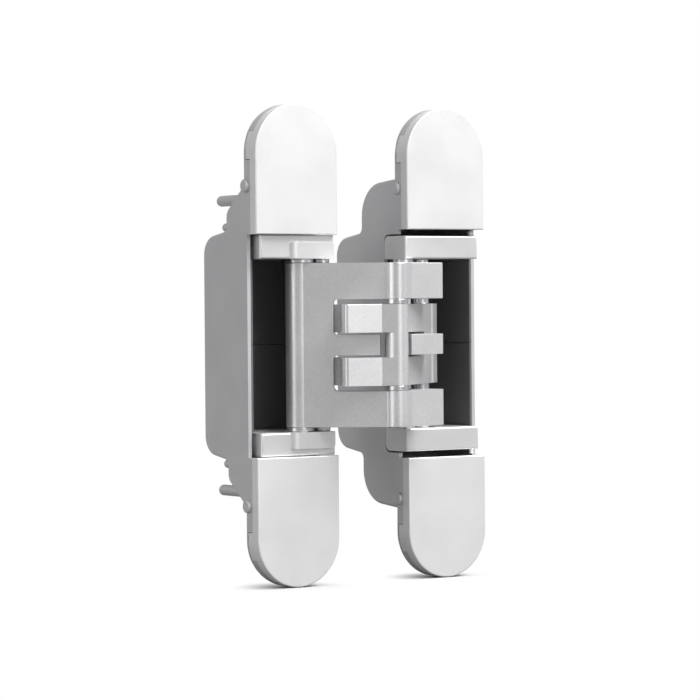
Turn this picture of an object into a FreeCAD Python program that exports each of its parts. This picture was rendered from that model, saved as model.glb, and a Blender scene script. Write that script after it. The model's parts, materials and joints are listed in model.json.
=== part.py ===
import FreeCAD, Part
import math
import os
from FreeCAD import Vector

# Concealed door hinge, drawn in its fully open pose. Millimetres, +Z up.
# The origin is the centre of the frame half's fixing holes, on the back of
# its flange. The faces of both halves look towards -Y, and the door half
# stands to the right, towards +X. Depths are counted from the cover faces.

# Whole hinge
hinge_height = 110.0
leaf_width = 22.0
leaf_spacing = 41.6
closed_gap = 5.0

# Covers and flanges
cover_thickness = 2.5
cover_edge_round = 0.3
flange_thickness = 2.5
frame_cover_gap = 0.1
door_cover_gap = 1.5
clip_height = 45.5
clip_length = 6.4
clip_thickness = 1.1
clip_reach = 1.9
clip_clearance = 0.15

# Housings: heights are from mid height, depths from the cover faces
housing_wall = 0.9
wall_front_depth = 4.0
frame_deep = 23.2
frame_shelf = 13.2
frame_shelf_top = 37.0
frame_ramp = 6.4
frame_shelf_round = 2.6
door_deep = 30.2
door_shelf = 19.4
door_shelf_top = 38.6
door_ramp = 1.3
door_shelf_round = 8.0
deep_top_below_block = 0.5
deep_round = 4.6
step_above_block = 1.1
step_round = 1.6
notch_depth = 9.6
notch_above_block = 0.4
notch_round = 1.6
edge_round = 0.7

# Fixing holes, nubs and pegs of the housings
hole_radius = 2.1
hole_sink_radius = 3.4
hole_above_shelf = 2.4
hole_pitch = 8.0
nub_radius = 1.5
nub_proud = 0.8
nub_height = 36.3
nub_depth = 4.2
peg_radius = 1.25
peg_inset = 1.3
peg_below_shelf_top = 3.8
peg_tip_depth = 17.9
bump_radius = 1.0
bump_below_peg = 6.1
bump_proud = 2.6

# Black liners of the deep pockets
liner_wall = 0.5
liner_to_block = 0.2
liner_seam = 0.12
liner_gap = 0.05

# Pivots: inset from the middle plane between the halves
pivot_inset = 11.5
pivot_depth = 4.3
centre_proud = 9.5
slider_inset = 17.0
slider_depth = 5.2

# Arms
arm_half_height = 18.8
centre_half_height = 9.3
level_gap = 1.2
tongue_half_height = 2.35
notch_half_height = 2.85
slider_barrel = 3.2
centre_barrel = 2.6
pivot_barrel = 1.7
plate_thickness = 3.3
plate_front_at_slider = 3.0
plate_front_at_centre = 1.5
finger_tilt = 14.0
finger_front = 1.1
inner_finger_reach = 12.95
outer_finger_reach = 15.5
finger_corner_round = 0.9
window_reach = 14.5
notch_reach = 16.0
window_corner_round = 1.0
notch_corner_round = 0.8
arm_clearance = 0.4
tongue_end_gap = 1.2

# Pins, bushes and washers
pivot_pin_radius = 1.0
centre_pin_radius = 1.2
slider_pin_radius = 1.2
running_gap = 0.05
bush_radius = 1.9
bush_length = 1.4
pivot_washer_radius = 1.85
door_washer_radius = 2.4
pivot_spacer_radius = 1.5
slider_spacer_radius = 2.0
face_gap = 0.05
pin_seat = 2.6

# Blocks that carry the pins
arm_to_block = 1.0
block_height = 5.4
frame_block_front = 1.5
door_block_front = 0.9
frame_block_side_gap = 1.1
door_block_side_gap = 0.3
block_fit = 0.1
block_round = 0.5
guide_depth = 1.7
lug_side_gap = 0.6
lug_width = 11.6
lug_slope = 1.95
lug_height = 3.8
lug_front = 0.6
lug_root = 1.5
lug_corner_round = 0.8

# Height screws of the door half
screw_radius = 0.9
screw_inset = 2.3
screw_depth = 2.6
screw_sink = 3.0
screw_stand = 1.2

half_height = hinge_height / 2
half_width = leaf_width / 2
face_y = -(cover_thickness + flange_thickness)
middle_x = leaf_spacing / 2
block_start = arm_half_height + arm_to_block
block_top = block_start + block_height
liner_top = block_start - liner_to_block
notch_top = block_top + notch_above_block
deep_top = block_top - deep_top_below_block
step_height = block_top + step_above_block
frame_cover_start = block_top + frame_cover_gap
door_cover_start = block_top + door_cover_gap
inner_hole_height = door_shelf_top + hole_above_shelf
outer_hole_height = inner_hole_height + hole_pitch
upper_level = centre_half_height + level_gap
cut_reach = leaf_width / 4


def point(x, depth):
    """A point in plan, by its X and its depth behind the cover faces."""
    return Vector(x, face_y + depth, 0)


frame_pivot = point(middle_x - pivot_inset, pivot_depth)
door_pivot = point(middle_x + pivot_inset, pivot_depth)
centre_pivot = point(middle_x, -centre_proud)
frame_slider = point(middle_x - slider_inset, slider_depth)
door_slider = point(middle_x + slider_inset, slider_depth)


def turned(vector, angle):
    """A plan vector turned about +Z by an angle in radians."""
    cosine, sine = math.cos(angle), math.sin(angle)
    return Vector(vector.x * cosine - vector.y * sine, vector.x * sine + vector.y * cosine, 0)


def heading(vector):
    return math.atan2(vector.y, vector.x)


def mirrored(vector):
    """A point's twin on the other side of the middle plane."""
    return Vector(2 * middle_x - vector.x, vector.y, 0)


def closing_angles():
    """Turns of the inner arm and the outer arm from open to closed, in radians."""
    middle_y = face_y - closed_gap / 2
    arm = centre_pivot - frame_pivot
    rise = frame_pivot.y - middle_y
    closed_centre = Vector(frame_pivot.x - math.sqrt(arm.Length ** 2 - rise ** 2), middle_y, 0)
    closed_door_pivot = Vector(frame_pivot.x, 2 * middle_y - frame_pivot.y, 0)
    inner = heading(closed_centre - frame_pivot) - heading(arm)
    outer = heading(closed_door_pivot - closed_centre) - heading(door_pivot - centre_pivot)
    return inner, outer


def slider_path(count=9):
    """Places of the outer arm's slider in the frame half, from open to closed."""
    inner, outer = closing_angles()
    places = []
    for step in range(count):
        share = step / (count - 1)
        centre = frame_pivot + turned(centre_pivot - frame_pivot, inner * share)
        places.append(centre + turned(frame_slider - centre_pivot, outer * share))
    return places


def rounded_outline(corners):
    """A closed wire through corners given as (point, radius)."""
    count = len(corners)
    starts, edges = [], []
    for index, (corner, radius) in enumerate(corners):
        before = (corners[index - 1][0] - corner).normalize()
        after = (corners[(index + 1) % count][0] - corner).normalize()
        if radius <= 0:
            starts.append((corner, None, corner))
            continue
        half = before.getAngle(after) / 2
        reach = radius / math.tan(half)
        bisector = (before + after).normalize()
        middle = corner + bisector * (radius / math.sin(half) - radius)
        starts.append((corner + before * reach, middle, corner + after * reach))
    for index, (first, middle, last) in enumerate(starts):
        if middle is not None:
            edges.append(Part.Arc(first, middle, last).toShape())
        following = starts[(index + 1) % count][0]
        if last.distanceToPoint(following) > 1e-6:
            edges.append(Part.LineSegment(last, following).toShape())
    return Part.Wire(edges)


def prism(corners, direction):
    return Part.Face(rounded_outline(corners)).extrude(direction)


def box(x0, x1, y0, y1, z0, z1):
    return Part.makeBox(x1 - x0, y1 - y0, z1 - z0, Vector(x0, y0, z0))


def disc(centre, radius, z0, z1):
    return Part.makeCylinder(radius, z1 - z0, Vector(centre.x, centre.y, z0))


def ring(centre, outer, inner, z0, z1):
    return disc(centre, outer, z0, z1).cut(disc(centre, inner, z0, z1))


def flipped(shape):
    """The shape's twin below mid height."""
    return shape.mirror(Vector(0, 0, 0), Vector(0, 0, 1))


def both(shape):
    """The shape and its twin below mid height, as separate solids."""
    return Part.makeCompound([shape, flipped(shape)])


def joined(shapes):
    return shapes[0].fuse(shapes[1:]).removeSplitter()


def stadium(x, depth0, depth1):
    """A plate with full round ends, centred on x."""
    straight = half_height - half_width
    plate = box(x - half_width, x + half_width, face_y + depth0, face_y + depth1, -straight, straight)
    ends = [
        Part.makeCylinder(half_width, depth1 - depth0, Vector(x, face_y + depth0, z), Vector(0, 1, 0))
        for z in (-straight, straight)
    ]
    return joined([plate] + ends)


# Housings

def pocket_profile(x, deep, shelf, shelf_top, ramp, shelf_round, front, inset):
    """Half of the stepped outline seen from the side, above mid height, at X."""
    def corner(height, depth, radius):
        return Vector(x, face_y + depth, height), radius
    return [
        corner(0, front, 0),
        corner(shelf_top - inset, front, 0),
        corner(shelf_top - inset, flange_thickness + cover_thickness, 0),
        corner(shelf_top - ramp - inset, shelf - inset, shelf_round - inset),
        corner(step_height - inset, shelf - inset, step_round + inset),
        corner(deep_top - inset, deep - inset, deep_round - inset),
        corner(0, deep - inset, 0),
    ]


def pocket(x, width, sizes, front, inset):
    """The stepped pocket as a solid body, both halves of its height."""
    profile = pocket_profile(x - width / 2, *sizes, front, inset)
    upper = prism(profile, Vector(width, 0, 0))
    return joined([upper, flipped(upper)])


def side_notch(x, side):
    """Room for the arms and blocks in the wall next to the other half."""
    inner = x + side * (half_width - housing_wall - block_fit)
    outer = x + side * (half_width + housing_wall)
    corners = [
        (Vector(min(inner, outer), face_y, -notch_top), 0),
        (Vector(min(inner, outer), face_y, notch_top), 0),
        (Vector(min(inner, outer), face_y + notch_depth, notch_top), notch_round),
        (Vector(min(inner, outer), face_y + notch_depth, -notch_top), notch_round),
    ]
    return prism(corners, Vector(abs(outer - inner), 0, 0))


def fixing_hole(x, height):
    hole = Part.makeCylinder(hole_radius, 2 * flange_thickness, Vector(x, -2 * flange_thickness, height),
                             Vector(0, 1, 0))
    sink = Part.makeCone(hole_sink_radius, hole_radius, hole_sink_radius - hole_radius,
                         Vector(x, -flange_thickness, height), Vector(0, 1, 0))
    return hole.fuse(sink)


def clip_slot(x, side, clearance):
    """The slot in the flange's edge for one clip of a cover."""
    inner = half_width - clip_thickness - clearance
    x0, x1 = sorted((x + side * inner, x + side * (half_width + clearance)))
    top = clip_height + clip_length / 2 + clearance
    bottom = clip_height - clip_length / 2 - clearance
    start = face_y + cover_thickness
    return box(x0, x1, start, start + clip_reach + clearance, bottom, top)


def clips(x):
    """Both clips of a cover, flush with its rounded edge."""
    room = stadium(x, cover_thickness, cover_thickness + clip_reach)
    return [clip_slot(x, side, 0).common(room) for side in (1, -1)]


def nub(x, side):
    """A round crush nub on a side wall."""
    root = Vector(x + side * (half_width - housing_wall / 2), face_y + nub_depth, nub_height)
    body = Part.makeCylinder(nub_radius, nub_proud + housing_wall / 2, root, Vector(side, 0, 0))
    rim = [edge for edge in body.Edges
           if abs(edge.BoundBox.XLength) < 1e-6 and abs(edge.BoundBox.XMin - x) > half_width]
    return body.makeFillet(nub_proud / 2, rim)


def housing(x, side, sizes, cover_start, with_pegs):
    """One cast housing: stepped pocket, flanges at its ends, holes and nubs.

    side is +1 where the other half stands to the right and -1 to the left.
    """
    body = pocket(x, leaf_width, sizes, wall_front_depth, 0)
    rims = [edge for edge in body.Edges
            if abs(abs(edge.BoundBox.XMin - x) - half_width) < 1e-6 and edge.BoundBox.XLength < 1e-6
            and edge.BoundBox.YMin > face_y + wall_front_depth + 1e-3
            and edge.BoundBox.YMax > face_y + wall_front_depth + edge_round]
    body = body.makeFillet(edge_round, rims)
    flange = stadium(x, cover_thickness, cover_thickness + flange_thickness)
    body = body.fuse([flange] + (pegs(x, sizes) if with_pegs else []))
    cavity = pocket(x, leaf_width - 2 * housing_wall, sizes, 0, housing_wall)
    body = body.cut(cavity)
    body = body.cut(box(x - leaf_width, x + leaf_width, face_y, face_y + wall_front_depth,
                        -cover_start, cover_start))
    body = body.cut(side_notch(x, side))
    for end in (1, -1):
        extras = [nub(x, 1), nub(x, -1)]
        cuts = [clip_slot(x, 1, clip_clearance), clip_slot(x, -1, clip_clearance),
                fixing_hole(x, outer_hole_height), fixing_hole(x, inner_hole_height)]
        if end < 0:
            extras = [flipped(item) for item in extras]
            cuts = [flipped(item) for item in cuts]
        body = body.fuse(extras).cut(cuts)
    return body.removeSplitter()


def pegs(x, sizes):
    """Round-ended pegs and small bumps behind the shelves, near their outer edge."""
    shelf, shelf_top = sizes[1:3]
    peg_x = x - half_width + peg_inset
    items = []
    for height, radius, tip_depth in (
            (shelf_top - peg_below_shelf_top, peg_radius, peg_tip_depth),
            (shelf_top - peg_below_shelf_top - bump_below_peg, bump_radius, shelf + bump_proud)):
        root = Vector(peg_x, face_y + cover_thickness + flange_thickness / 2, height)
        tip = Vector(peg_x, face_y + tip_depth - radius, height)
        item = Part.makeCylinder(radius, tip.y - root.y, root, Vector(0, 1, 0))
        item = item.fuse(Part.makeSphere(radius, tip))
        items += [item, flipped(item)]
    return items


def liner(x, side, deep):
    """The black liner in the upper half of a deep pocket: a back and two sides."""
    outer = half_width - housing_wall - liner_gap
    back = face_y + deep - housing_wall - liner_gap
    shell = box(x - outer, x + outer, face_y + wall_front_depth, back, liner_seam / 2, liner_top)
    inner = outer - liner_wall
    hollow = box(x - inner, x + inner, face_y, back - liner_wall, 0, liner_top)
    x0, x1 = sorted((x + side * (inner - liner_wall), x + side * (outer + liner_wall)))
    notch = box(x0, x1, face_y, face_y + notch_depth, 0, liner_top)
    return shell.cut([hollow, notch])


def cover(x, start):
    """One clip-on cover: a plate with a full round end and two clips."""
    plate = stadium(x, 0, cover_thickness)
    plate = plate.cut(box(x - leaf_width, x + leaf_width, face_y - 1, face_y + 2 * cover_thickness,
                          -hinge_height, start))
    front = [edge for edge in plate.Edges if edge.BoundBox.YMax < face_y + 1e-6]
    plate = plate.makeFillet(cover_edge_round, front)
    return plate.fuse(clips(x)).removeSplitter()


# Blocks

def guide_slot(places, radius, z0, z1):
    """The curved slot that a bush follows through the given places."""
    starts, ends = [], []
    for index, place in enumerate(places):
        ahead = places[min(index + 1, len(places) - 1)] - places[max(index - 1, 0)]
        across = Vector(-ahead.y, ahead.x, 0).normalize() * radius
        starts.append(Vector(place.x + across.x, place.y + across.y, z0))
        ends.append(Vector(place.x - across.x, place.y - across.y, z0))
    sides = []
    for points in (starts, ends[::-1]):
        curve = Part.BSplineCurve()
        curve.interpolate(points)
        sides.append(curve.toShape())
    far, near = places[-1], places[0]
    far_tip = far + (far - places[-2]).normalize() * radius
    near_tip = near + (near - places[1]).normalize() * radius
    far_cap = Part.Arc(starts[-1], Vector(far_tip.x, far_tip.y, z0), ends[-1]).toShape()
    near_cap = Part.Arc(ends[0], Vector(near_tip.x, near_tip.y, z0), starts[0]).toShape()
    outline = Part.Wire([sides[0], far_cap, sides[1], near_cap])
    return Part.Face(outline).extrude(Vector(0, 0, z1 - z0))


def block(x, side, sizes, front, side_gap, pivot, places, extras):
    """One carrier block: it fills the pocket's step and holds a pivot pin and a guide."""
    inside = pocket(x, leaf_width - 2 * housing_wall - 2 * block_fit, sizes, front,
                    housing_wall + block_fit)
    x0, x1 = sorted((x - side * (half_width - housing_wall - side_gap), x + side * half_width))
    room = box(x0, x1, face_y + front, face_y + sizes[0], block_start, block_top)
    body = inside.common(room)
    inner = half_width - 2 * housing_wall
    x0, x1 = sorted((x + side * inner, x + side * half_width))
    cheek = box(x0, x1, face_y + front, face_y + notch_depth - block_fit, block_start, block_top)
    cheek_corner = [edge for edge in cheek.Edges
                    if edge.BoundBox.YMin > face_y + notch_depth - 2 * block_fit
                    and edge.BoundBox.ZMin > block_top - block_fit]
    cheek = cheek.makeFillet(notch_round, cheek_corner)
    body = joined([body, cheek])
    front_edges = [edge for edge in body.Edges if edge.BoundBox.YMax < face_y + front + 1e-6]
    body = joined([body.makeFillet(block_round, front_edges)] + extras)
    slot = guide_slot(places, bush_radius + running_gap, block_start, block_start + guide_depth)
    hole = disc(pivot, pivot_pin_radius + running_gap, block_start, block_start + pin_seat)
    return body.cut([slot, hole])


def lug():
    """The raised lug on a frame block, in front of both pins, with one rounded side."""
    right = half_width - lug_side_gap
    left = right - lug_width
    rise = frame_block_front - lug_front
    slope_radius = (lug_slope ** 2 + rise ** 2) / (2 * rise)
    flat_start = Vector(left + lug_slope, face_y + lug_front, block_start)
    slope_centre = flat_start + Vector(0, slope_radius, 0)
    slope_angle = math.asin(lug_slope / slope_radius)
    foot, middle = [slope_centre + Vector(-math.sin(angle), -math.cos(angle), 0) * slope_radius
                    for angle in (slope_angle, slope_angle / 2)]
    root = Vector(0, lug_root, 0)
    end = Vector(right, face_y + lug_front, block_start)
    back = end + Vector(0, rise, 0) + root
    edges = [Part.Arc(flat_start, middle, foot).toShape()]
    points = [foot, foot + root, back, end, flat_start]
    for first, last in zip(points, points[1:]):
        edges.append(Part.LineSegment(first, last).toShape())
    body = Part.Face(Part.Wire(edges)).extrude(Vector(0, 0, lug_height))
    top = block_start + lug_height
    front_view = prism([
        (Vector(left, face_y, block_start), 0),
        (Vector(right, face_y, block_start), 0),
        (Vector(right, face_y, top), lug_corner_round),
        (Vector(left, face_y, top), lug_corner_round),
    ], Vector(0, leaf_width, 0))
    return body.common(front_view)


# Arms

def plate_frame():
    """Along and forward directions of the outer arm's plate on the frame side."""
    span = centre_pivot - frame_slider
    along = Vector(span).normalize()
    forward = Vector(along.y, -along.x, 0)
    lean = math.asin((plate_front_at_slider - plate_front_at_centre) / span.Length)
    along_plate = along * math.cos(lean) - forward * math.sin(lean)
    forward_plate = forward * math.cos(lean) + along * math.sin(lean)
    return along_plate, forward_plate


def centre_along():
    """How far along the plate the centre pivot stands from the slider."""
    return (centre_pivot - frame_slider).dot(plate_frame()[0])


def plate_point(along_distance, forward_distance):
    along, forward = plate_frame()
    return frame_slider + along * along_distance + forward * forward_distance


def plate_outline(start, end):
    """The plate's section between two distances along it, on the frame side."""
    back = plate_front_at_slider - plate_thickness
    return [plate_point(start, plate_front_at_slider), plate_point(end, plate_front_at_slider),
            plate_point(end, back), plate_point(start, back)]


def slab(points, z0, z1):
    wire = Part.makePolygon([Vector(p.x, p.y, z0) for p in points + points[:1]])
    return Part.Face(wire).extrude(Vector(0, 0, z1 - z0))


def cut_through(start, end, z0, z1, start_round=0):
    """A body that cuts right through the plate between two distances along it."""
    body = slab([plate_point(start, cut_reach), plate_point(end, cut_reach),
                 plate_point(end, -cut_reach), plate_point(start, -cut_reach)], z0, z1)
    if not start_round:
        return body
    along, forward = plate_frame()
    corners = [edge for edge in body.Edges
               if edge.BoundBox.ZLength < 1e-6
               and abs((edge.CenterOfMass - plate_point(start, 0)).dot(along)) < 1e-6]
    return body.makeFillet(start_round, corners)


def finger_outline(reach):
    """The hooked finger's section on the frame side, as a wire."""
    tilt = math.radians(finger_tilt)
    out = Vector(-math.cos(tilt), math.sin(tilt), 0)
    front = Vector(-math.sin(tilt), -math.cos(tilt), 0)
    near = centre_pivot + front * finger_front
    corner = near + out * math.sqrt(reach ** 2 - finger_front ** 2)
    back = plate_front_at_slider - plate_thickness - arm_clearance
    along, forward = plate_frame()
    centre_forward = (centre_pivot - frame_slider).dot(forward)
    drop = centre_forward - back
    exit_point = centre_pivot - forward * drop - along * math.sqrt(reach ** 2 - drop ** 2)
    middle_angle = (heading(corner - centre_pivot) % (2 * math.pi) + heading(exit_point - centre_pivot)) / 2
    middle = centre_pivot + Vector(math.cos(middle_angle), math.sin(middle_angle), 0) * reach
    hook = frame_pivot + forward * pivot_barrel
    line = (centre_pivot - frame_pivot).normalize()
    right = Vector(-line.y, line.x, 0)
    tail = frame_pivot + right * pivot_barrel
    root = centre_pivot + right * centre_barrel
    shoulder = centre_pivot + forward * centre_barrel
    crease = shoulder - along * ((shoulder - near).dot(front) / along.dot(front))
    edges = [Part.LineSegment(crease, corner).toShape(), Part.Arc(corner, middle, exit_point).toShape()]
    points = [exit_point, hook, frame_pivot, tail, root, centre_pivot, shoulder, crease]
    for first, last in zip(points, points[1:]):
        edges.append(Part.LineSegment(first, last).toShape())
    return Part.Wire(edges), corner


def finger(reach, z0, z1):
    """One hooked finger on the frame side between two heights, with its rounded corner."""
    outline, corner = finger_outline(reach)
    outline.translate(Vector(0, 0, z0))
    body = Part.Face(outline).extrude(Vector(0, 0, z1 - z0))
    upright = [edge for edge in body.Edges
               if math.hypot(edge.BoundBox.Center.x - corner.x, edge.BoundBox.Center.y - corner.y) < 1e-4
               and edge.BoundBox.ZLength > (z1 - z0) / 2]
    body = body.makeFillet(finger_corner_round, upright)
    return body.fuse(disc(frame_pivot, pivot_barrel, z0, z1))


def across(shape):
    """The shape's twin on the other side of the middle plane."""
    return shape.mirror(Vector(middle_x, 0, 0), Vector(1, 0, 0))


def outer_arm():
    """The tall arm: slider barrel and windowed plate in the frame half, fingers in the door half."""
    h = arm_half_height
    length = centre_along()
    plate = slab(plate_outline(0, length), -h, h)
    window = cut_through(length - window_reach, length + leaf_width, tongue_half_height, upper_level,
                         window_corner_round)
    tongue_end = length - centre_barrel - tongue_end_gap
    gap = cut_through(tongue_end, length + leaf_width, -upper_level, upper_level)
    plate = plate.cut([window, flipped(window), gap])
    parts = [plate, disc(frame_slider, slider_barrel, -h, h)]
    upper_finger = across(finger(outer_finger_reach, upper_level, h))
    for item in (disc(centre_pivot, centre_barrel, upper_level, h), upper_finger):
        parts += [item, flipped(item)]
    parts.append(disc(door_pivot, pivot_barrel, -h, h))
    mid_finger = across(finger(outer_finger_reach, -tongue_half_height, tongue_half_height))
    mid_finger = mid_finger.cut(disc(centre_pivot, centre_barrel + tongue_end_gap, -h, h))
    parts.append(mid_finger)
    body = joined(parts)
    holes = [disc(frame_slider, slider_pin_radius, -h, h), disc(centre_pivot, centre_pin_radius, -h, h),
             disc(door_pivot, pivot_pin_radius + running_gap, -h, h)]
    return body.cut(holes)


def inner_arm():
    """The short arm: fingers in the frame half, notched plate and slider barrel in the door half."""
    h = centre_half_height
    length = centre_along()
    plate = slab(plate_outline(-slider_barrel, length), -h, h)
    notch_end = length - centre_barrel + tongue_end_gap / 2
    notch = cut_through(length - notch_reach, notch_end, -notch_half_height, notch_half_height,
                        notch_corner_round)
    plate = across(plate.fuse(disc(frame_slider, slider_barrel, -h, h)).cut(notch))
    parts = [plate, disc(centre_pivot, centre_barrel, -h, h)]
    upper = finger(inner_finger_reach, notch_half_height, h)
    parts += [upper, flipped(upper)]
    body = joined(parts)
    holes = [disc(door_slider, slider_pin_radius, -h, h),
             disc(centre_pivot, centre_pin_radius + running_gap, -h, h),
             disc(frame_pivot, pivot_pin_radius + running_gap, -h, h)]
    return body.cut(holes)


# Pins, bushes and washers

def slider_bush(centre):
    start = block_start + (guide_depth - bush_length) / 2
    return ring(centre, bush_radius, slider_pin_radius + running_gap, start, start + bush_length)


def slider_pin(centre):
    top = block_start + guide_depth - face_gap
    return disc(centre, slider_pin_radius, -top, top)


def washer(centre, outer, inner):
    return ring(centre, outer, inner + running_gap, arm_half_height + face_gap, block_start - face_gap)


def height_screw(x):
    """A height screw standing out of a door block, with a rounded tip."""
    place = Vector(x + half_width - screw_inset, face_y + screw_depth, block_top - screw_sink)
    body = Part.makeCylinder(screw_radius, screw_sink + screw_stand, place)
    tip = [edge for edge in body.Edges if edge.BoundBox.ZMin > block_top + screw_stand - 1e-6]
    return body.makeFillet(screw_radius / 2, tip)


frame_sizes = (frame_deep, frame_shelf, frame_shelf_top, frame_ramp, frame_shelf_round)
door_sizes = (door_deep, door_shelf, door_shelf_top, door_ramp, door_shelf_round)


def build():
    nodes = {}
    frame_x, door_x = 0.0, leaf_spacing
    frame_places = slider_path()
    door_places = [mirrored(place) for place in frame_places]

    nodes["frame_housing"] = housing(frame_x, 1, frame_sizes, frame_cover_start, True)
    nodes["door_housing"] = housing(door_x, -1, door_sizes, door_cover_start, False)

    frame_block = block(frame_x, 1, frame_sizes, frame_block_front, frame_block_side_gap,
                        frame_pivot, frame_places, [lug()])
    door_block = block(door_x, -1, door_sizes, door_block_front, door_block_side_gap,
                       door_pivot, door_places, [])
    screw = height_screw(door_x)
    door_block = door_block.cut(screw)

    halves = {
        "frame_block": frame_block,
        "door_block": door_block,
        "frame_liner": liner(frame_x, 1, frame_deep),
        "door_liner": liner(door_x, -1, door_deep),
        "frame_cover": cover(frame_x, frame_cover_start),
        "door_cover": cover(door_x, door_cover_start),
    }
    for name, shape in halves.items():
        nodes[name + "_upper"] = shape
        nodes[name + "_lower"] = flipped(shape)

    nodes["outer_arm"] = outer_arm()
    nodes["inner_arm"] = inner_arm()

    inner_end = centre_half_height + face_gap
    pin_end = block_start + pin_seat
    nodes["centre_pin"] = disc(centre_pivot, centre_pin_radius, -arm_half_height, arm_half_height)
    nodes["centre_washers"] = both(ring(centre_pivot, centre_barrel, centre_pin_radius + running_gap,
                                        inner_end, upper_level - face_gap))
    nodes["frame_pivot_pin"] = disc(frame_pivot, pivot_pin_radius, -pin_end, pin_end)
    nodes["door_pivot_pin"] = disc(door_pivot, pivot_pin_radius, -pin_end, pin_end)
    nodes["frame_pivot_spacers"] = both(ring(frame_pivot, pivot_spacer_radius,
                                             pivot_pin_radius + running_gap, inner_end, arm_half_height))
    nodes["frame_pivot_washers"] = both(washer(frame_pivot, pivot_washer_radius, pivot_pin_radius))
    nodes["door_pivot_washers"] = both(washer(door_pivot, door_washer_radius, pivot_pin_radius))
    nodes["frame_slider_pin"] = slider_pin(frame_slider)
    nodes["door_slider_pin"] = slider_pin(door_slider)
    nodes["frame_slider_bushes"] = both(slider_bush(frame_slider))
    nodes["door_slider_bushes"] = both(slider_bush(door_slider))
    nodes["frame_slider_washers"] = both(washer(frame_slider, slider_barrel, slider_pin_radius))
    nodes["door_slider_spacers"] = both(ring(door_slider, slider_spacer_radius,
                                             slider_pin_radius + running_gap,
                                             inner_end, block_start - 2 * face_gap))
    nodes["door_height_screws"] = both(screw)
    return nodes


os.makedirs("parts", exist_ok=True)
for name, shape in build().items():
    shape.exportStep("parts/" + name + ".step")
inner_turn, outer_turn = closing_angles()
print("inner arm turns", round(math.degrees(inner_turn), 6))
print("outer arm turns", round(math.degrees(outer_turn), 6))
print("slider ends at", [round(value, 3) for value in slider_path()[-1]])
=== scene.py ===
import json
import math
import bmesh
import bpy
from mathutils import Matrix, Vector
from mathutils.bvhtree import BVHTree
from mathutils.kdtree import KDTree

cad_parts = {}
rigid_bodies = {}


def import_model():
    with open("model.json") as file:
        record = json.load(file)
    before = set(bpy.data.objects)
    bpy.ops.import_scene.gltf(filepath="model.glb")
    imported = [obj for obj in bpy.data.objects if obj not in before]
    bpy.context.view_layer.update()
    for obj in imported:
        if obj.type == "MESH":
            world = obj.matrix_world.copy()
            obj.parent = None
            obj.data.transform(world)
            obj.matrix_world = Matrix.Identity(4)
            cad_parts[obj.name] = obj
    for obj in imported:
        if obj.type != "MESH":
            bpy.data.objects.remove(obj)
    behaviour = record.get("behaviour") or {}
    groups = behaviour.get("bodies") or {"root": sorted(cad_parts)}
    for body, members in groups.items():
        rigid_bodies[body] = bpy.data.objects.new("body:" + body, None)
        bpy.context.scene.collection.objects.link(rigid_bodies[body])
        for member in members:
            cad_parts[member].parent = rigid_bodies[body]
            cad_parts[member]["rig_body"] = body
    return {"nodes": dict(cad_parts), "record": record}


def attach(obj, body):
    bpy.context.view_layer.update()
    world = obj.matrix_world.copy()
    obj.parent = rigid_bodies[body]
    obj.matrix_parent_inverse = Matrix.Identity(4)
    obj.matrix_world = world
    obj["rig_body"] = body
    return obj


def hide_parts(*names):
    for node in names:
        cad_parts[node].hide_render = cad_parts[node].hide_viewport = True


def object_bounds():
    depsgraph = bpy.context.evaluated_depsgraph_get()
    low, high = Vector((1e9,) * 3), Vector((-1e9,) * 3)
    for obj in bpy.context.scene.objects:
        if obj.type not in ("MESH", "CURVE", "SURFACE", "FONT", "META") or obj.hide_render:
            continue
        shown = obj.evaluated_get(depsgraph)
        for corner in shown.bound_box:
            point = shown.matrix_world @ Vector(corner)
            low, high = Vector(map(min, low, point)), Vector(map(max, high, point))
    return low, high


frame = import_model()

# Concealed door hinge, fully open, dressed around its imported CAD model.
# Metres, +Z up. The faces of both halves look towards -Y.

cadBox = [[float(value) for value in corner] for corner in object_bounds()]
nodes = frame["nodes"]
mm = 0.001
print("frame loaded,", len(nodes), "nodes")


# Camera, at the photo's angle

photoCamera = {
    "place": (-0.3799, -0.5904, 0.0105),
    "heading": 33.95,  # degrees from +Y towards +X
    "down": 0.95,
    "roll": -0.43,
    "lens": 157.9,
}


def makeCamera(card):
    data = bpy.data.cameras.new("photoCamera")
    data.lens = card["lens"]
    data.sensor_width = 36.0
    data.clip_start = 0.01
    camera = bpy.data.objects.new("photoCamera", data)
    bpy.context.scene.collection.objects.link(camera)
    turn = (Matrix.Rotation(math.radians(-card["heading"]), 4, "Z")
            @ Matrix.Rotation(math.radians(90 - card["down"]), 4, "X")
            @ Matrix.Rotation(math.radians(card["roll"]), 4, "Z"))
    camera.matrix_world = Matrix.Translation(card["place"]) @ turn
    bpy.context.scene.camera = camera


makeCamera(photoCamera)
print("camera set")


# Node helpers

def linear(hexColour):
    channels = [int(hexColour[i:i + 2], 16) / 255 for i in (1, 3, 5)]
    return tuple(c / 12.92 if c <= 0.04045 else ((c + 0.055) / 1.055) ** 2.4 for c in channels) + (1.0,)


def addNode(tree, kind, settings=None, links=None):
    # links maps an input's name or number to a value or to another node's output
    node = tree.nodes.new(kind)
    for name, value in (settings or {}).items():
        setattr(node, name, value)
    for socket, source in (links or {}).items():
        if isinstance(source, bpy.types.NodeSocket):
            tree.links.new(source, node.inputs[socket])
        else:
            node.inputs[socket].default_value = source
    return node


def newMaterial(name):
    material = bpy.data.materials.new(name)
    material.use_nodes = True
    material.node_tree.nodes.clear()
    return material, material.node_tree


# Finishes

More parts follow.
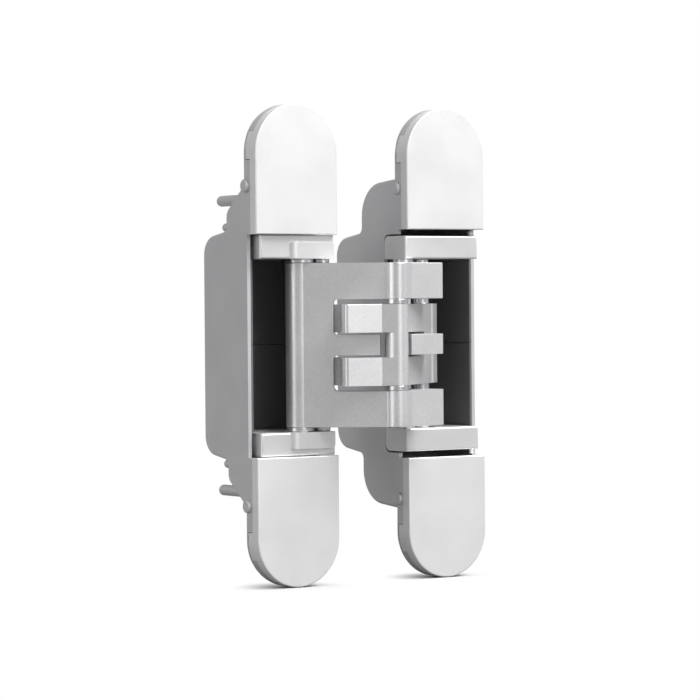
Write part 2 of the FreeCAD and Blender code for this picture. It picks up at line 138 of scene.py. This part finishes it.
def lacqueredZinc(name, card):
    # Die-cast zinc under satin silver lacquer, sprayed: an even pale grey with a
    # broad soft sheen, faint flake and a lacquer skin that isn't quite flat.
    material, tree = newMaterial(name)
    place = addNode(tree, "ShaderNodeTexCoord").outputs["Object"]
    cloud = addNode(tree, "ShaderNodeTexNoise", None,
                    {"Vector": place, "Scale": 1 / (card["cloudMm"] * mm), "Detail": 3.0})
    flake = addNode(tree, "ShaderNodeTexVoronoi", None,
                    {"Vector": place, "Scale": 1 / (card["flakeMm"] * mm)})
    flakeGrey = addNode(tree, "ShaderNodeSeparateColor", None, {"Color": flake.outputs["Color"]})
    mottle = addNode(tree, "ShaderNodeMath", {"operation": "MULTIPLY"},
                     {0: flakeGrey.outputs[0], 1: card["flakeShare"]})
    blend = addNode(tree, "ShaderNodeMath", {"operation": "MULTIPLY_ADD"},
                    {0: cloud.outputs["Fac"], 1: 1 - card["flakeShare"], 2: mottle.outputs[0]})
    colour = addNode(tree, "ShaderNodeMix", {"data_type": "RGBA"},
                     {0: blend.outputs[0], 6: linear(card["darker"]), 7: linear(card["lighter"])})
    rough = addNode(tree, "ShaderNodeMapRange", None,
                    {"Value": cloud.outputs["Fac"], "From Min": 0.3, "From Max": 0.7,
                     "To Min": card["roughness"] - card["roughSpread"],
                     "To Max": card["roughness"] + card["roughSpread"]})
    grain = addNode(tree, "ShaderNodeTexNoise", None,
                    {"Vector": place, "Scale": 1 / (card["grainMm"] * mm), "Detail": 2.0})
    skin = addNode(tree, "ShaderNodeTexNoise", None,
                   {"Vector": place, "Scale": 1 / (card["skinMm"] * mm), "Detail": 1.0})
    skinBump = addNode(tree, "ShaderNodeBump", None,
                       {"Strength": 1.0, "Distance": card["skinDepthMm"] * mm,
                        "Height": skin.outputs["Fac"]})
    grainBump = addNode(tree, "ShaderNodeBump", None,
                        {"Strength": 1.0, "Distance": card["grainDepthMm"] * mm,
                         "Height": grain.outputs["Fac"], "Normal": skinBump.outputs[0]})
    shader = addNode(tree, "ShaderNodeBsdfPrincipled", None,
                     {"Base Color": colour.outputs[2], "Metallic": card["metallic"],
                      "Roughness": rough.outputs[0], "Normal": grainBump.outputs[0]})
    addNode(tree, "ShaderNodeOutputMaterial", None, {"Surface": shader.outputs[0]})
    return material


coverLacquer = {"darker": "#dbdbdb", "lighter": "#e4e4e4", "metallic": 0.6, "roughness": 0.50,
                "roughSpread": 0.03, "cloudMm": 9.0, "flakeMm": 0.16, "flakeShare": 0.35,
                "grainMm": 0.32, "grainDepthMm": 0.0025, "skinMm": 1.6, "skinDepthMm": 0.004}
castLacquer = dict(coverLacquer, darker="#d7d7d8", lighter="#e2e2e3", metallic=0.75, roughness=0.44,
                   grainDepthMm=0.004, skinDepthMm=0.007)
armLacquer = dict(castLacquer, darker="#cacacc", lighter="#e5e5e6", roughness=0.37, flakeMm=0.24,
                  flakeShare=0.4)
housingLacquer = dict(castLacquer, darker="#c2c2c4", lighter="#cfcfd1", roughness=0.50, grainDepthMm=0.006)


def mouldedNylon(name, card):
    # Black glass-filled nylon from a spark-eroded mould: a dark grey black with a dull fine grain.
    material, tree = newMaterial(name)
    place = addNode(tree, "ShaderNodeTexCoord").outputs["Object"]
    grain = addNode(tree, "ShaderNodeTexNoise", None,
                    {"Vector": place, "Scale": 1 / (card["grainMm"] * mm), "Detail": 2.0})
    colour = addNode(tree, "ShaderNodeMix", {"data_type": "RGBA"},
                     {0: grain.outputs["Fac"], 6: linear(card["darker"]), 7: linear(card["lighter"])})
    rough = addNode(tree, "ShaderNodeMapRange", None,
                    {"Value": grain.outputs["Fac"], "To Min": card["roughness"] - card["roughSpread"],
                     "To Max": card["roughness"] + card["roughSpread"]})
    bump = addNode(tree, "ShaderNodeBump", None,
                   {"Strength": 1.0, "Distance": card["grainDepthMm"] * mm,
                    "Height": grain.outputs["Fac"]})
    shader = addNode(tree, "ShaderNodeBsdfPrincipled", None,
                     {"Base Color": colour.outputs[2], "Roughness": rough.outputs[0], "IOR": card["ior"],
                      "Normal": bump.outputs[0]})
    addNode(tree, "ShaderNodeOutputMaterial", None, {"Surface": shader.outputs[0]})
    return material


linerNylon = {"darker": "#565657", "lighter": "#69696b", "roughness": 0.55, "roughSpread": 0.06,
              "ior": 1.53, "grainMm": 0.25, "grainDepthMm": 0.006}


def turnedSteel(name, card):
    # Bright free-cutting steel, turned or ground: fine rings around the axis that
    # stretch the highlight. A noise squeezed along the axis draws them.
    material, tree = newMaterial(name)
    place = addNode(tree, "ShaderNodeTexCoord").outputs["Object"]
    axis = addNode(tree, "ShaderNodeMapping", None,
                   {"Vector": place, "Scale": (card["acrossShare"], card["acrossShare"], 1.0)})
    rings = addNode(tree, "ShaderNodeTexNoise", None,
                    {"Vector": axis.outputs[0], "Scale": 1 / (card["feedMm"] * mm), "Detail": 2.0})
    colour = addNode(tree, "ShaderNodeMix", {"data_type": "RGBA"},
                     {0: rings.outputs["Fac"], 6: linear(card["darker"]), 7: linear(card["lighter"])})
    rough = addNode(tree, "ShaderNodeMapRange", None,
                    {"Value": rings.outputs["Fac"], "To Min": card["roughness"] - card["roughSpread"],
                     "To Max": card["roughness"] + card["roughSpread"]})
    bump = addNode(tree, "ShaderNodeBump", None,
                   {"Strength": 1.0, "Distance": card["feedDepthMm"] * mm,
                    "Height": rings.outputs["Fac"]})
    shader = addNode(tree, "ShaderNodeBsdfPrincipled", None,
                     {"Base Color": colour.outputs[2], "Metallic": 1.0, "Roughness": rough.outputs[0],
                      "Normal": bump.outputs[0]})
    addNode(tree, "ShaderNodeOutputMaterial", None, {"Surface": shader.outputs[0]})
    return material


brightSteel = {"darker": "#c4c4c6", "lighter": "#dededf", "roughness": 0.30, "roughSpread": 0.05,
               "feedMm": 0.08, "feedDepthMm": 0.002, "acrossShare": 0.02}

finishes = {
    "satin_cover": lacqueredZinc("satin silver lacquer on covers", coverLacquer),
    "cast_block": lacqueredZinc("satin silver lacquer on blocks", castLacquer),
    "cast_arm": lacqueredZinc("satin silver lacquer on arms", armLacquer),
    "cast_housing": lacqueredZinc("satin grey lacquer on housings", housingLacquer),
    "black_liner": mouldedNylon("black glass filled nylon", linerNylon),
    "turned_washer": turnedSteel("bright turned steel", brightSteel),
    "steel_pin": turnedSteel("bright ground steel", dict(brightSteel, roughness=0.24)),
}
print("finishes made:", len(finishes))


# Pieces: each CAD shape with its edges rounded as casting and tumbling leave them

edgeRounding = {
    # radius in mm, and the fold in degrees from which an edge counts as sharp
    "satin_cover": (0.12, 50),
    "cast_block": (0.22, 20),
    "cast_arm": (0.2, 20),
    "cast_housing": (0.22, 20),
    "black_liner": (0.12, 20),
    "steel_pin": (0.12, 20),
}
roundingSegments = 4
mergeMm = 0.001
flatDegrees = 0.6  # folds below this are taken as flat
easing = {
    # an edge whose rounding fails is made narrower turn by turn, and left sharp in the last ones
    "turns": 9,
    "sharpTurns": 3,
    "narrower": 0.6,
    "reach": 1.5,  # in radii, how far from a fault an edge is eased
    "strayShare": 0.36,  # of the radius: a square edge's arc lies 0.29 of it inside
    "strayMm": 0.01,
    "turnedOver": 0.3,  # cosine below which a small face counts as folded over
}
creases = {
    # folds in degrees from which the shading keeps a crease, between any two faces
    # and between two faces that are both wider than flatArea (square millimetres)
    "anyFold": 38,
    "flatFold": 14,
    "flatArea": 1.0,
}


def strayPlaces(mesh, surface, normals, radius):
    # where a rounding has left the CAD surface or folded over, with the number of bad corners
    limit = easing["strayShare"] * radius + easing["strayMm"] * mm
    bad = {vertex.index for vertex in mesh.vertices if surface.find_nearest(vertex.co)[3] > limit}
    for face in mesh.polygons:
        if len(face.vertices) <= 5:  # wider faces are the flats between the roundings
            under = normals[surface.find_nearest(face.center)[2]]
            if face.normal.dot(under) < easing["turnedOver"]:
                bad.update(face.vertices)
    reached = {index for edge in mesh.edges if bad.intersection(edge.vertices) for index in edge.vertices}
    places = KDTree(len(reached))
    for index in reached:
        places.insert(mesh.vertices[index].co, index)
    places.balance()
    return places, len(bad)


def edgeSteps(edge, step):
    # points along an edge, no further apart than step
    first, last = edge.verts[0].co, edge.verts[1].co
    count = math.ceil((last - first).length / step)
    return [first.lerp(last, index / count) for index in range(count + 1)]


def setCornerNormals(mesh):
    # Flat faces stay flat and roundings blend: each corner takes the mean, by area,
    # of the faces around it that don't crease against its own.
    anyFold = math.cos(math.radians(creases["anyFold"]))
    flatFold = math.cos(math.radians(creases["flatFold"]))
    flatArea = creases["flatArea"] * mm * mm
    faces = [(face.normal.copy(), face.area) for face in mesh.polygons]
    around = [[] for vertex in mesh.vertices]
    for face in mesh.polygons:
        for index in face.vertices:
            around[index].append(faces[face.index])
    corners = []
    for face in mesh.polygons:
        own, ownArea = faces[face.index]
        for index in face.vertices:
            mean = Vector()
            for normal, area in around[index]:
                if normal.dot(own) > (flatFold if min(area, ownArea) > flatArea else anyFold):
                    mean += normal * area
            corners.append(mean.normalized() if mean.length > 0 else own)
    mesh.shade_smooth()
    mesh.normals_split_custom_set(corners)


def bakedMesh(piece, name):
    graph = bpy.context.evaluated_depsgraph_get()
    mesh = bpy.data.meshes.new_from_object(piece.evaluated_get(graph))
    mesh.name = name
    return mesh


def dress(mesh, finish):
    mesh.materials.clear()
    mesh.materials.append(finish)
    setCornerNormals(mesh)


def roundedCopy(node, name, card, finish):
    # the CAD shape with its sharp edges bevelled, the bevel giving way where there's no room for it
    radiusMm, foldDegrees = card
    radius = radiusMm * mm
    plain = nodes[node].data.copy()
    shape = bmesh.new()
    shape.from_mesh(plain)
    bmesh.ops.remove_doubles(shape, verts=shape.verts, dist=mergeMm * mm)
    bmesh.ops.dissolve_limit(shape, angle_limit=math.radians(flatDegrees), verts=shape.verts,
                             edges=shape.edges)
    surface = BVHTree.FromBMesh(shape)
    normals = [face.normal.copy() for face in shape.faces]
    weight = shape.edges.layers.float.new("bevel_weight_edge")
    sharp = [edge for edge in shape.edges if edge.calc_face_angle(0) > math.radians(foldDegrees)]
    for edge in sharp:
        edge[weight] = 1.0
    piece = bpy.data.objects.new(name, plain)
    bpy.context.scene.collection.objects.link(piece)
    bevel = piece.modifiers.new("edges", "BEVEL")
    bevel.width = radius
    bevel.segments = roundingSegments
    bevel.limit_method = "WEIGHT"
    bevel.use_clamp_overlap = False
    for turn in range(easing["turns"]):
        shape.to_mesh(plain)
        rounded = bakedMesh(piece, name)
        places, strays = strayPlaces(rounded, surface, normals, radius)
        if not strays or turn == easing["turns"] - 1:
            break
        bpy.data.meshes.remove(rounded)
        share = easing["narrower"] if turn < easing["turns"] - easing["sharpTurns"] else 0.0
        for edge in sharp:
            if any(places.find(point)[2] < easing["reach"] * radius for point in edgeSteps(edge, radius)):
                edge[weight] = edge[weight] * share
    shape.free()
    print(name, "rounded after", turn, "easings,", strays, "strays left")
    piece.modifiers.remove(bevel)
    piece.data = rounded
    dress(rounded, finish)
    return piece


# Turned parts, built by geometry nodes: rings and screws stand in pairs above and below mid height

def newTree(name, sizes):
    # sizes maps each input's name to its kind of socket
    tree = bpy.data.node_groups.new(name, "GeometryNodeTree")
    tree.interface.new_socket("geometry", in_out="OUTPUT", socket_type="NodeSocketGeometry")
    for label, kind in sizes.items():
        tree.interface.new_socket(label, in_out="INPUT", socket_type="NodeSocket" + kind)
    return tree, addNode(tree, "NodeGroupInput").outputs


def closeTree(tree, shape, finish):
    real = addNode(tree, "GeometryNodeRealizeInstances", None, {"Geometry": shape})
    dressed = addNode(tree, "GeometryNodeSetMaterial", None,
                      {"Geometry": real.outputs[0], "Material": finish})
    addNode(tree, "NodeGroupOutput", None, {0: dressed.outputs[0]})
    return tree


def ringTree():
    # a rounded rectangle swept round a circle, once above and once below
    tree, size = newTree("turned rings", {
        "upperCentre": "Vector", "outerRadius": "Float", "innerRadius": "Float", "length": "Float",
        "edgeRadius": "Float", "roundSteps": "Int", "turnSteps": "Int", "finish": "Material"})
    both = addNode(tree, "ShaderNodeMath", {"operation": "ADD"},
                   {0: size["outerRadius"], 1: size["innerRadius"]})
    middle = addNode(tree, "ShaderNodeMath", {"operation": "MULTIPLY"}, {0: both.outputs[0], 1: 0.5})
    wall = addNode(tree, "ShaderNodeMath", {"operation": "SUBTRACT"},
                   {0: size["outerRadius"], 1: size["innerRadius"]})
    path = addNode(tree, "GeometryNodeCurvePrimitiveCircle", {"mode": "RADIUS"},
                   {"Resolution": size["turnSteps"], "Radius": middle.outputs[0]})
    upright = addNode(tree, "GeometryNodeSetCurveNormal", {"mode": "Z_UP"}, {"Curve": path.outputs[0]})
    section = addNode(tree, "GeometryNodeCurvePrimitiveQuadrilateral", {"mode": "RECTANGLE"},
                      {"Width": wall.outputs[0], "Height": size["length"]})
    rounded = addNode(tree, "GeometryNodeFilletCurve", {"mode": "POLY"},
                      {"Curve": section.outputs[0], "Count": size["roundSteps"],
                       "Radius": size["edgeRadius"]})
    ring = addNode(tree, "GeometryNodeCurveToMesh", None,
                   {"Curve": upright.outputs[0], "Profile Curve": rounded.outputs[0]})
    down = addNode(tree, "ShaderNodeVectorMath", {"operation": "MULTIPLY"},
                   {0: size["upperCentre"], 1: (0, 0, -2)})
    pair = addNode(tree, "GeometryNodeMeshLine", {"mode": "OFFSET"},
                   {"Count": 2, "Start Location": size["upperCentre"], "Offset": down.outputs[0]})
    placed = addNode(tree, "GeometryNodeInstanceOnPoints", None,
                     {"Points": pair.outputs[0], "Instance": ring.outputs[0]})
    return closeTree(tree, placed.outputs[0], size["finish"])


def screwTree():
    # a cylinder pulled in along a helix for the thread and along an arc at its tip
    tree, size = newTree("threaded screws", {
        "upperCentre": "Vector", "outerRadius": "Float", "length": "Float", "tipRadius": "Float",
        "pitch": "Float", "threadDepth": "Float", "turnSteps": "Int", "lengthSteps": "Int",
        "finish": "Material"})

    def maths(operation, *values):
        return addNode(tree, "ShaderNodeMath", {"operation": operation}, dict(enumerate(values))).outputs[0]

    rod = addNode(tree, "GeometryNodeMeshCylinder", {"fill_type": "NGON"},
                  {"Vertices": size["turnSteps"], "Side Segments": size["lengthSteps"],
                   "Radius": size["outerRadius"], "Depth": size["length"]})
    place = addNode(tree, "GeometryNodeInputPosition").outputs[0]
    part = addNode(tree, "ShaderNodeSeparateXYZ", None, {0: place}).outputs
    turns = maths("DIVIDE", maths("ARCTAN2", part[1], part[0]), math.tau)
    phase = maths("ADD", maths("DIVIDE", part[2], size["pitch"]), turns)
    ridge = maths("PINGPONG", phase, 0.5)
    groove = maths("MULTIPLY", ridge, maths("MULTIPLY", size["threadDepth"], 2.0))
    tipStart = maths("SUBTRACT", maths("MULTIPLY", size["length"], 0.5), size["tipRadius"])
    intoTip = maths("MAXIMUM", maths("SUBTRACT", part[2], tipStart), 0.0)
    across = maths("SQRT", maths("MAXIMUM", maths("SUBTRACT", maths("POWER", size["tipRadius"], 2.0),
                                                  maths("POWER", intoTip, 2.0)), 0.0))
    tipDrop = maths("SUBTRACT", size["tipRadius"], across)
    drop = maths("DIVIDE", maths("MAXIMUM", groove, tipDrop), size["outerRadius"])
    share = maths("SUBTRACT", 1.0, drop)
    pulled = addNode(tree, "ShaderNodeCombineXYZ", None,
                     {0: maths("MULTIPLY", part[0], share), 1: maths("MULTIPLY", part[1], share),
                      2: part[2]})
    cut = addNode(tree, "GeometryNodeSetPosition", None,
                  {"Geometry": rod.outputs[0], "Position": pulled.outputs[0]})
    upper = addNode(tree, "GeometryNodeTransform", None,
                    {"Geometry": cut.outputs[0], "Translation": size["upperCentre"]})
    mirrored = addNode(tree, "ShaderNodeVectorMath", {"operation": "MULTIPLY"},
                       {0: size["upperCentre"], 1: (1, 1, -1)})
    lower = addNode(tree, "GeometryNodeTransform", None,
                    {"Geometry": cut.outputs[0], "Translation": mirrored.outputs[0],
                     "Rotation": (math.pi, 0, 0)})
    pair = addNode(tree, "GeometryNodeJoinGeometry")
    for half in (upper, lower):
        tree.links.new(half.outputs[0], pair.inputs[0])
    return closeTree(tree, pair.outputs[0], size["finish"])


def builtPiece(name, tree, values):
    # values holds all that the tree's inputs ask for, by their names
    piece = bpy.data.objects.new(name, bpy.data.meshes.new(name))
    bpy.context.scene.collection.objects.link(piece)
    build = piece.modifiers.new("build", "NODES")
    build.node_group = tree
    for socket in tree.interface.items_tree:
        if socket.in_out == "INPUT":
            build[socket.identifier] = values[socket.name]
    built = bakedMesh(piece, name)
    piece.modifiers.remove(build)
    piece.data = built
    dress(built, values["finish"])
    return piece


ringNodes = ("centre_washers", "frame_pivot_spacers", "frame_pivot_washers", "door_pivot_washers",
             "frame_slider_bushes", "door_slider_bushes", "frame_slider_washers", "door_slider_spacers")
ringEdge = {"edgeRadius": 0.12 * mm, "roundSteps": 4, "turnSteps": 96}
screwThread = {"tipRadius": 0.45 * mm, "pitch": 0.5 * mm, "threadDepth": 0.16 * mm, "turnSteps": 48,
               "lengthSteps": 96}


def upperSizes(node):
    # of the CAD ring or rod above mid height, to 0.01 mm
    places = [vertex.co for vertex in nodes[node].data.vertices if vertex.co.z > 0]
    ends = [(min(row), max(row)) for row in zip(*places)]
    middle = Vector([round((low + high) / 2, 5) for low, high in ends])
    radii = [(place.xy - middle.xy).length for place in places]
    return {"upperCentre": middle, "length": round(ends[2][1] - ends[2][0], 5),
            "innerRadius": round(min(radii), 5), "outerRadius": round(max(radii), 5)}


def camelName(node):
    words = node.split("_")
    return words[0] + "".join(word.capitalize() for word in words[1:])


turnedRings, threadedScrews = ringTree(), screwTree()
slots = {item["node"]: item["material_slot"] for item in frame["record"]["subparts"]}
for node in sorted(nodes):
    slotName = slots[node]
    finish = finishes[slotName]
    if node in ringNodes:
        piece = builtPiece(camelName(node), turnedRings, dict(ringEdge, finish=finish, **upperSizes(node)))
    elif node == "door_height_screws":
        piece = builtPiece(camelName(node), threadedScrews,
                           dict(screwThread, finish=finish, **upperSizes(node)))
    else:
        piece = roundedCopy(node, camelName(node), edgeRounding[slotName], finish)
    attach(piece, nodes[node]["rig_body"])
    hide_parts(node)
print("pieces made")


# Studio: pale floor, white surroundings, soft lamps

hingeMiddle = Vector(((cadBox[0][0] + cadBox[1][0]) / 2, -0.005, 0.0))  # where the lamps aim
studio = {
    "floorLevel": cadBox[0][2] - 0.0001,
    "floorRadius": 2.5,
    "floorCorners": 64,
    "floorColour": "#808080",  # as it lights the hinge
    "floorSeen": "#bababa",  # as the camera sees it round each foot: grey paper lit to about white, grey in the lamps' shadows, and a faint painted shade at the feet's places where the lamps leave it below white
    "seenFade": (0.002, 0.015),  # distances from a foot between which the seen floor turns plain white, a glow that paints out the lamps' shadows further away
    "worldGrey": 0.4,
    "whiteInMetal": 0.1,  # how far metal sees the white background instead of the studio's grey
}
lamps = {
    # azimuth from -Y towards +X, elevation, distance, size, watts
    "keyLamp": (40, 55, 0.9, 0.7, 15.6),
    "frontLamp": (0, 15, 1.0, 0.4, 1.6),
    "leftLamp": (-90, 15, 1.2, 0.8, 4.2),
    "rightLamp": (70, 12, 1.0, 0.8, 0.5),
}


def backgroundShare(tree, inMetal):
    # 1 for the camera and through glass, a share in what metal mirrors, 0 for the light itself
    path = addNode(tree, "ShaderNodeLightPath")
    mirrored = addNode(tree, "ShaderNodeMath", {"operation": "MULTIPLY"},
                       {0: path.outputs["Is Glossy Ray"], 1: inMetal})
    seen = addNode(tree, "ShaderNodeMath", {"operation": "MAXIMUM"},
                   {0: path.outputs["Is Camera Ray"], 1: mirrored.outputs[0]})
    share = addNode(tree, "ShaderNodeMath", {"operation": "MAXIMUM"},
                    {0: seen.outputs[0], 1: path.outputs["Is Transmission Ray"]})
    return share.outputs[0]


def footOf(node):
    # the lowest point of a piece
    return min((vertex.co for vertex in nodes[node].data.vertices), key=lambda place: place.z)


def makeFloor(card):
    mesh = bpy.data.meshes.new("studioFloor")
    shape = bmesh.new()
    bmesh.ops.create_circle(shape, cap_ends=True, segments=card["floorCorners"],
                             radius=card["floorRadius"])
    bmesh.ops.translate(shape, verts=shape.verts, vec=(0, 0, card["floorLevel"]))
    shape.to_mesh(mesh)
    shape.free()
    floor = bpy.data.objects.new("studioFloor", mesh)
    bpy.context.scene.collection.objects.link(floor)
    material, tree = newMaterial("studio floor paper")
    paper = addNode(tree, "ShaderNodeBsdfDiffuse", None, {"Color": linear(card["floorColour"])})
    seenPaper = addNode(tree, "ShaderNodeBsdfDiffuse", None, {"Color": linear(card["floorSeen"])})
    white = addNode(tree, "ShaderNodeEmission", None, {"Color": (1, 1, 1, 1), "Strength": 1.0})
    place = addNode(tree, "ShaderNodeTexCoord").outputs["Object"]
    # Painted shade and light on the floor: grey paper round the feet's places at rest, where the lamps'
    # shadows show, fading to a white glow that hides them further out
    away = [addNode(tree, "ShaderNodeVectorMath", {"operation": "DISTANCE"}, {0: place, 1: foot})
            for foot in (footOf("frame_cover_lower"), footOf("door_cover_lower"))]
    nearest = addNode(tree, "ShaderNodeMath", {"operation": "MINIMUM"},
                      {index: distance.outputs["Value"] for index, distance in enumerate(away)})
    fade = addNode(tree, "ShaderNodeMapRange", {"interpolation_type": "SMOOTHSTEP"},
                   {"Value": nearest.outputs[0], "From Min": card["seenFade"][0],
                    "From Max": card["seenFade"][1]})
    seen = addNode(tree, "ShaderNodeMixShader", None,
                   {0: fade.outputs[0], 1: seenPaper.outputs[0], 2: white.outputs[0]})
    either = addNode(tree, "ShaderNodeMixShader", None,
                     {0: backgroundShare(tree, card["whiteInMetal"]), 1: paper.outputs[0],
                      2: seen.outputs[0]})
    addNode(tree, "ShaderNodeOutputMaterial", None, {"Surface": either.outputs[0]})
    mesh.materials.append(material)


def makeWorld(card):
    world = bpy.data.worlds.new("studio")
    bpy.context.scene.world = world
    world.use_nodes = True
    tree = world.node_tree
    tree.nodes.clear()
    white = addNode(tree, "ShaderNodeBackground", None, {"Color": (1, 1, 1, 1), "Strength": 1.0})
    grey = addNode(tree, "ShaderNodeBackground", None,
                   {"Color": (1, 1, 1, 1), "Strength": card["worldGrey"]})
    either = addNode(tree, "ShaderNodeMixShader", None,
                     {0: backgroundShare(tree, card["whiteInMetal"]), 1: grey.outputs[0],
                      2: white.outputs[0]})
    addNode(tree, "ShaderNodeOutputWorld", None, {"Surface": either.outputs[0]})


def makeLamp(name, card):
    azimuth, elevation, distance, size, watts = card
    a, e = math.radians(azimuth), math.radians(elevation)
    away = Vector((math.sin(a) * math.cos(e), -math.cos(a) * math.cos(e), math.sin(e)))
    data = bpy.data.lights.new(name, "AREA")
    data.shape = "DISK"
    data.size = size
    data.energy = watts
    lamp = bpy.data.objects.new(name, data)
    lamp.location = hingeMiddle + away * distance
    lamp.rotation_mode = "QUATERNION"
    lamp.rotation_quaternion = (-away).to_track_quat("-Z", "Y")
    bpy.context.scene.collection.objects.link(lamp)


makeFloor(studio)
makeWorld(studio)
for name, card in lamps.items():
    makeLamp(name, card)
bpy.context.scene.view_settings.view_transform = "Standard"
print("studio lit with", len(lamps), "lamps")
